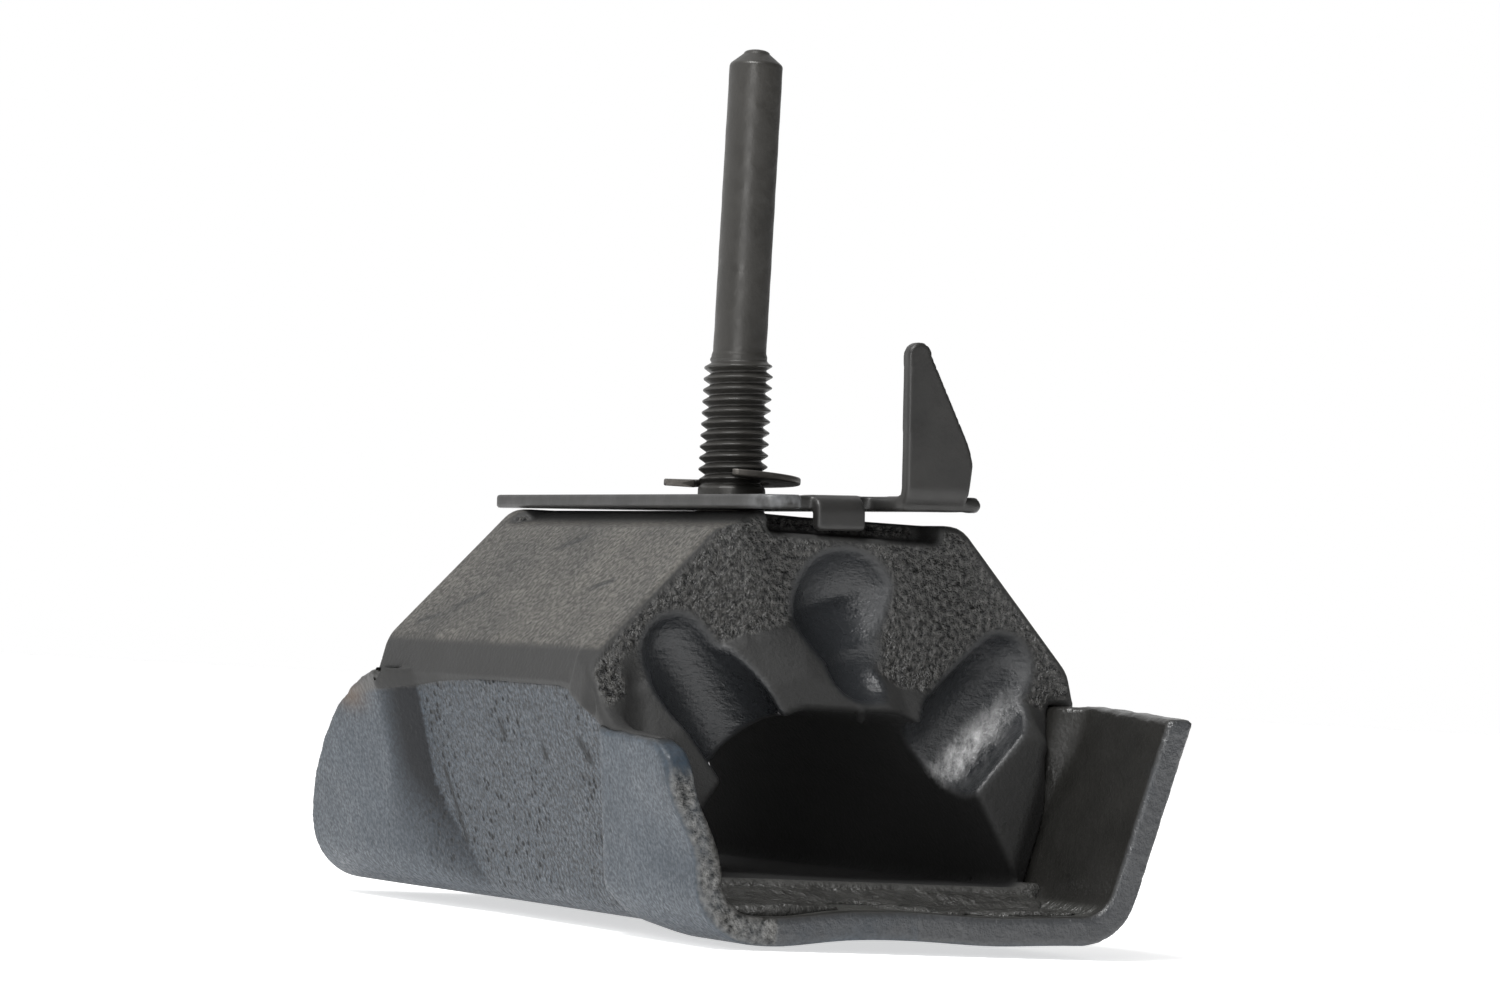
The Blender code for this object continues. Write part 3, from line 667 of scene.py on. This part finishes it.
def hook_solid(q):
    """The short tab that is folded down through the relief."""
    x, y, z = q.T
    turn_y = RELIEF_Y + 0.6
    sheet = bent_sheet(y, z, turn_y, 1.6, -1) - PLATE / 2
    sides = both(HOOK_X[0] - x, x - HOOK_X[1], 0.2)
    reach = np.maximum(y - turn_y - 3.0, -HOOK_REACH - z)
    return both(both(sheet, sides, 0.6), reach, 0.8)


def plate_solid(p):
    """All of the plate, in its own flat frame turned to its resting tilt."""
    x, y, z = p.T
    z = z - PLATE_HEIGHT
    cos, sin = math.cos(TILT), math.sin(TILT)
    q = np.column_stack([x * cos + z * sin, y, -x * sin + z * cos])
    solid = either(plate_flat(q), finger_solid(q), 0.3)
    nub = rod(q, (RIGHT - 1.6, FRONT + 2.2, 1.0), (RIGHT - 0.4, FRONT + 2.4, 1.0), 1.0)
    solid = either(solid, nub, 0.6)
    return either(solid, hook_solid(q), 0.5)


def make_plate(finish):
    low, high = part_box("locator_plate")
    pad = Vector((1.0, 1.0, 1.0))
    points, faces = surface_of(plate_solid, low / MM - pad, high / MM + pad, PLATE_GRID)
    plate = add_mesh("plate_sheet", points, faces, finish)
    x, y, _ = points.T
    corner = np.exp(-(((x + 15.0) / 5.0) ** 2 + ((y + 47.0) / 4.0) ** 2))
    mark(plate, "worn", corner)
    return plate


# --- Materials ------------------------------------------------------------------------------------

class Nodes:
    """A material's node tree, with short calls that add and join nodes."""

    def __init__(self, name):
        self.material = bpy.data.materials.new(name)
        self.material.use_nodes = True
        self.tree = self.material.node_tree
        self.shader = self.tree.nodes["Principled BSDF"]
        self.place = self.add("ShaderNodeTexCoord").outputs["Object"]

    def add(self, kind, **settings):
        node = self.tree.nodes.new(kind)
        for key, value in settings.items():
            setattr(node, key, value)
        return node

    def join(self, value, socket):
        if isinstance(value, (int, float)):
            socket.default_value = value
        elif isinstance(value, tuple):
            socket.default_value = (*value, 1.0) if len(value) == 3 else value
        else:
            self.tree.links.new(value, socket)

    def set(self, name, value):
        self.join(value, self.shader.inputs[name])

    def noise(self, scale, detail=4.0, rough=0.5, stretch=None):
        node = self.add("ShaderNodeTexNoise")
        node.inputs["Scale"].default_value = scale
        node.inputs["Detail"].default_value = detail
        node.inputs["Roughness"].default_value = rough
        place = self.place
        if stretch:
            mapping = self.add("ShaderNodeMapping")
            mapping.inputs["Scale"].default_value = stretch
            self.join(place, mapping.inputs["Vector"])
            place = mapping.outputs["Vector"]
        self.join(place, node.inputs["Vector"])
        return node.outputs["Fac"]

    def cells(self, scale):
        node = self.add("ShaderNodeTexVoronoi")
        node.inputs["Scale"].default_value = scale
        self.join(self.place, node.inputs["Vector"])
        return node.outputs["Distance"]

    def mask(self, name):
        node = self.add("ShaderNodeAttribute", attribute_name=name)
        return node.outputs["Fac"]

    def range(self, value, low, high, to_low=0.0, to_high=1.0):
        node = self.add("ShaderNodeMapRange")
        for socket, number in zip(("From Min", "From Max", "To Min", "To Max"),
                                  (low, high, to_low, to_high)):
            node.inputs[socket].default_value = number
        self.join(value, node.inputs["Value"])
        return node.outputs["Result"]

    def math(self, operation, a, b=0.0):
        node = self.add("ShaderNodeMath", operation=operation)
        self.join(a, node.inputs[0])
        self.join(b, node.inputs[1])
        return node.outputs["Value"]

    def mix(self, share, a, b):
        node = self.add("ShaderNodeMix", data_type="RGBA")
        self.join(share, node.inputs[0])
        self.join(a, node.inputs[6])
        self.join(b, node.inputs[7])
        return node.outputs[2]

    def blend(self, share, a, b):
        node = self.add("ShaderNodeMix", data_type="FLOAT")
        self.join(share, node.inputs[0])
        self.join(a, node.inputs[2])
        self.join(b, node.inputs[3])
        return node.outputs[0]

    def bump(self, height, strength, distance, under=None):
        node = self.add("ShaderNodeBump")
        self.join(strength, node.inputs["Strength"])
        node.inputs["Distance"].default_value = distance
        self.join(height, node.inputs["Height"])
        if under:
            self.join(under, node.inputs["Normal"])
        return node.outputs["Normal"]


def saddle_finish():
    """Black coat, bluish outside and pitted on the panels, with rubber skin near the block.

    crease_shade darkens the left wall's far crease in the colour. Part of that dark is painted shade, for
    the darker reflection there.
    """
    m = Nodes("saddle_black_coat")
    panel, skin = m.mask("panel"), m.mask("skin")
    left_strip, front_strip = m.mask("left_strip"), m.mask("front_strip")
    grain = m.range(m.noise(1700, 2, 0.5), 0.36, 0.64)
    blue = m.mix(m.noise(60, 5, 0.6), (0.018, 0.028, 0.040), (0.038, 0.054, 0.072))
    blue = m.mix(m.math("MULTIPLY", grain, m.blend(panel, 0.45, 1.0)), blue, (0.010, 0.012, 0.015))
    # Painted shade: the far crease on the left wall is darkened in the coat colour.
    blue = m.mix(m.mask("crease_shade"), blue, (0.005, 0.006, 0.008))
    dots = m.range(m.cells(560), 0.14, 0.30, 1.0, 0.0)
    specks = m.math("MULTIPLY", dots, m.range(m.noise(70, 2), 0.40, 0.52))
    pits = m.math("MULTIPLY", specks, m.blend(panel, 0.25, 1.0))
    coat = m.mix(m.math("MAXIMUM", pits, m.mask("scar")), blue, (0.006, 0.007, 0.008))
    black = m.mix(m.noise(140, 4), (0.010, 0.010, 0.009), (0.026, 0.025, 0.023))
    # Painted reflection: the wrinkled floor skin is painted lighter grey than the black skin; its wrinkles
    # are bumps.
    black = m.mix(m.mask("floor_skin"), black, (0.060, 0.060, 0.056))
    colour = m.mix(skin, coat, black)
    colour = m.mix(front_strip, colour, (0.05, 0.052, 0.055))
    crumbs = m.mix(m.range(m.noise(900, 3), 0.35, 0.65), (0.012, 0.012, 0.011), (0.15, 0.148, 0.142))
    colour = m.mix(left_strip, colour, crumbs)
    m.set("Base Color", m.mix(m.mask("rust"), colour, (0.055, 0.035, 0.022)))
    rough = m.blend(grain, m.range(m.noise(260, 3), 0.3, 0.7, 0.36, 0.48), 0.62)
    dull = m.math("MAXIMUM", m.mask("crease_shade"), m.math("MAXIMUM", pits, m.mask("scar")))
    rough = m.blend(dull, rough, 0.8)
    rough = m.blend(skin, rough, m.range(m.noise(200, 3), 0.3, 0.7, 0.28, 0.42))
    m.set("Roughness", m.blend(left_strip, rough, 0.35))
    peel = m.bump(m.noise(1300, 2, 0.5), m.blend(panel, 0.25, 0.9), 0.0004)
    crust = m.math("MAXIMUM", left_strip, m.math("MULTIPLY", front_strip, 0.45))
    grit = m.bump(m.noise(750, 3, 0.65), crust, 0.0010, peel)
    holes = m.bump(pits, m.blend(panel, 0.3, 0.9), -0.0004, grit)
    wrinkle = m.bump(m.noise(260, 4, 0.6, (0.6, 1.3, 1.0)), m.mask("floor_skin"), 0.0030, holes)
    m.set("Normal", m.bump(m.noise(160, 3), 0.2, 0.0008, wrinkle))
    return m.material


def rubber_finish():
    """Moulded rubber: rough end faces, brownish slopes, smooth grooves, and a tunnel painted near-black as
    painted shade.

    A streaky band in the right flute is painted pale grey: a painted highlight.
    """
    m = Nodes("moulded_black_rubber")
    face, groove, slope = m.mask("moulded_face"), m.mask("groove"), m.mask("slope")
    tone = m.noise(70, 5, 0.6)
    plain = m.mix(tone, (0.010, 0.010, 0.010), (0.022, 0.022, 0.021))
    brown = m.mix(m.range(m.noise(48, 7, 0.7), 0.3, 0.7), (0.036, 0.034, 0.030), (0.112, 0.104, 0.089))
    fine = m.range(m.noise(1500, 2, 0.5), 0.36, 0.64)
    brown = m.mix(m.math("MULTIPLY", fine, 0.7), brown, (0.012, 0.012, 0.011))
    blue = m.mix(tone, (0.011, 0.012, 0.013), (0.026, 0.028, 0.031))
    colour = m.mix(groove, m.mix(slope, plain, brown), blue)
    dots = m.range(m.cells(420), 0.08, 0.2, 1.0, 0.0)
    pits = m.math("MULTIPLY", dots, m.range(m.noise(60, 2), 0.5, 0.6))
    pits = m.math("MAXIMUM", pits, m.mask("scar"))
    colour = m.mix(m.math("MULTIPLY", pits, slope), colour, (0.012, 0.012, 0.011))
    # Painted shade: the tunnel's inside is painted near-black, darker than the rubber elsewhere.
    tunnel = m.mask("tunnel")
    colour = m.mix(tunnel, colour, (0.002, 0.002, 0.002))
    grit = m.mix(m.range(m.noise(1250, 3), 0.4, 0.66), (0.006, 0.006, 0.006), (0.095, 0.093, 0.088))
    # Painted highlight: the flute's band is mixed towards pale grey in the base colour.
    streaks = m.range(m.noise(500, 4, 0.65, (1.0, 1.0, 0.4)), 0.36, 0.66)
    highlight_paint = m.math("MULTIPLY", m.mask("painted_highlight"), streaks)
    # The apron's grey is partly random tone and partly painted reflection off its wrinkles, lighter than the
    # rest of the rubber; the wrinkles are bumps.
    wrinkled = m.mix(m.noise(500, 4), (0.012, 0.012, 0.011), (0.075, 0.074, 0.070))
    colour = m.mix(m.mask("apron"), colour, wrinkled)
    m.set("Base Color", m.mix(highlight_paint, m.mix(face, colour, grit), (0.5, 0.5, 0.5)))
    dull = m.blend(slope, m.range(tone, 0.3, 0.7, 0.60, 0.76), m.blend(fine, 0.44, 0.7))
    rough = m.blend(groove, m.blend(face, dull, 0.25), m.range(tone, 0.3, 0.7, 0.2, 0.32))
    rough = m.blend(m.mask("apron"), rough, 0.24)
    m.set("Roughness", m.blend(tunnel, rough, 1.0))
    bumpy = m.math("MAXIMUM", face, m.math("MULTIPLY", m.mask("apron"), 0.5))
    coarse = m.bump(m.noise(620, 4, 0.62), bumpy, 0.0028)
    dents = m.bump(pits, m.math("MULTIPLY", slope, 0.5), -0.0003, coarse)
    grain = m.bump(m.noise(1300, 4, 0.65), m.blend(slope, 0.3, 1.0), 0.0006, dents)
    tears = m.noise(600, 4, 0.65, (0.35, 1.0, 1.3))
    m.set("Normal", m.bump(tears, m.math("MULTIPLY", groove, 0.35), 0.0006, grain))
    return m.material


def plain_steel(name, colour, lighter, metal, rough, grain=900, bump=0.15):
    m = Nodes(name)
    m.set("Base Color", m.mix(m.noise(120, 4), colour, lighter))
    m.set("Metallic", metal)
    m.set("Roughness", m.range(m.noise(400, 3), 0.3, 0.7, rough - 0.07, rough + 0.09))
    m.set("Normal", m.bump(m.noise(grain, 4, 0.6), bump, 0.0003))
    return m.material


def plate_finish():
    m = Nodes("plate_black_coat")
    worn = m.math("MULTIPLY", m.mask("worn"), m.range(m.noise(260, 3), 0.35, 0.6))
    coat = m.mix(m.noise(160, 4), (0.012, 0.012, 0.012), (0.030, 0.029, 0.027))
    bare = (0.32, 0.33, 0.34)
    m.set("Base Color", m.mix(worn, coat, bare))
    m.set("Metallic", m.blend(worn, 0.1, 0.9))
    m.set("Roughness", m.range(m.noise(300, 3), 0.3, 0.7, 0.38, 0.5))
    m.set("Normal", m.bump(m.noise(1100, 3, 0.6), 0.1, 0.0003))
    return m.material


# --- Studio ---------------------------------------------------------------------------------------

def make_camera():
    """A long lens just below the plate's level, rolled a little, at the photograph's angle."""
    azimuth, elevation, roll = (math.radians(a) for a in (-28.0, -1.792, 3.312))
    distance, lens = 0.8484, 126.65
    shift_right, shift_up = 0.003030, 0.003094
    back = Vector((math.sin(azimuth) * math.cos(elevation), -math.cos(azimuth) * math.cos(elevation),
                   math.sin(elevation)))
    right = (-back).cross(Vector((0, 0, 1))).normalized()
    up = right.cross(-back)
    across_rolled = right * math.cos(roll) + up * math.sin(roll)
    up_rolled = up * math.cos(roll) - right * math.sin(roll)
    data = bpy.data.cameras.new("camera")
    data.lens = lens
    data.sensor_width = 36.0
    camera = bpy.data.objects.new("camera", data)
    camera.matrix_world = Matrix((across_rolled, up_rolled, back)).transposed().to_4x4()
    camera.location = Vector((0, 0, BLOCK_TOP * MM)) + back * distance + right * shift_right + up * shift_up
    data.clip_start = 0.01
    bpy.context.scene.collection.objects.link(camera)
    bpy.context.scene.camera = camera


def area_light(name, place, target, size, power):
    data = bpy.data.lights.new(name, "AREA")
    data.shape = "RECTANGLE"
    data.size, data.size_y = size
    data.energy = power
    light = bpy.data.objects.new(name, data)
    light.location = place
    light.rotation_euler = (Vector(target) - Vector(place)).to_track_quat("-Z", "Y").to_euler()
    bpy.context.scene.collection.objects.link(light)


def make_floor():
    """A pale floor, which glows faintly so that it meets the backdrop without a horizon."""
    side = 6.0
    points = np.array([(-side, -side, 0), (side, -side, 0), (side, side, 0), (-side, side, 0)]) / MM
    m = Nodes("pale_floor")
    m.set("Base Color", m.mix(m.noise(3, 2), (0.9, 0.9, 0.9), (0.93, 0.93, 0.93)))
    m.set("Roughness", 0.8)
    m.set("Emission Color", (1.0, 1.0, 1.0))
    m.set("Emission Strength", 0.6)
    floor = add_mesh("floor", points, np.array([(0, 1, 2, 3)]), m.material)
    floor.location.z = -FLOOR_DROP * MM


def make_world():
    """A white backdrop behind the object, and a darker room in front of it."""
    world = bpy.data.worlds.new("studio")
    bpy.context.scene.world = world
    world.use_nodes = True
    nodes, links = world.node_tree.nodes, world.node_tree.links
    place = nodes.new("ShaderNodeTexCoord")
    turned = nodes.new("ShaderNodeVectorMath")
    turned.operation = "DOT_PRODUCT"
    turned.inputs[1].default_value = BACKDROP_WAY
    links.new(place.outputs["Generated"], turned.inputs[0])
    fall = nodes.new("ShaderNodeMapRange")
    fall.interpolation_type = "SMOOTHSTEP"
    for socket, value in zip(("From Min", "From Max", "To Min", "To Max"), BACKDROP_FALL):
        fall.inputs[socket].default_value = value
    links.new(turned.outputs["Value"], fall.inputs["Value"])
    seen = nodes.new("ShaderNodeLightPath")
    strength = nodes.new("ShaderNodeMix")
    links.new(seen.outputs["Is Camera Ray"], strength.inputs[0])
    links.new(fall.outputs["Result"], strength.inputs[2])
    strength.inputs[3].default_value = 1.0
    background = nodes["Background"]
    background.inputs["Color"].default_value = (1.0, 1.0, 1.0, 1.0)
    links.new(strength.outputs[0], background.inputs["Strength"])


def make_studio():
    make_world()
    area_light("key_softbox", (-0.45, -0.35, 1.05), (0, 0, 0.05), (0.45, 0.45), 13)
    area_light("fill_softbox", (-0.9, -1.1, 0.35), (0, 0, 0.05), (0.35, 0.5), 6)
    bpy.context.scene.view_settings.view_transform = "Standard"


def main():
    make_camera()
    saddle = make_saddle(saddle_finish())
    rubber = make_rubber(rubber_finish())
    stud = make_stud(plain_steel("stud_black_oxide", (0.022, 0.021, 0.019), (0.044, 0.042, 0.038),
                                 metal=0.25, rough=0.42, grain=500, bump=0.4))
    plate = make_plate(plate_finish())
    washer = make_washer(plain_steel("washer_dark_steel", (0.07, 0.066, 0.06), (0.12, 0.11, 0.1),
                                     metal=0.7, rough=0.42))
    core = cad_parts["core_channel"]
    core.data.materials.clear()
    core.data.materials.append(plain_steel("core_bonded_steel", (0.12, 0.12, 0.12), (0.2, 0.19, 0.18),
                                           metal=0.9, rough=0.5))

    for piece, body, node, slot in (
            (saddle, "base", "saddle", "saddle_coating"), (stud, "core", "stud", "stud_oxide"),
            (plate, "plate", "locator_plate", "plate_coating"),
            (washer, "washer", "retaining_washer", "washer_steel")):
        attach(piece, body)
        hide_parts(node)
    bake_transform(rubber)
    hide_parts("rubber_block")
    make_floor()
    make_studio()


main()
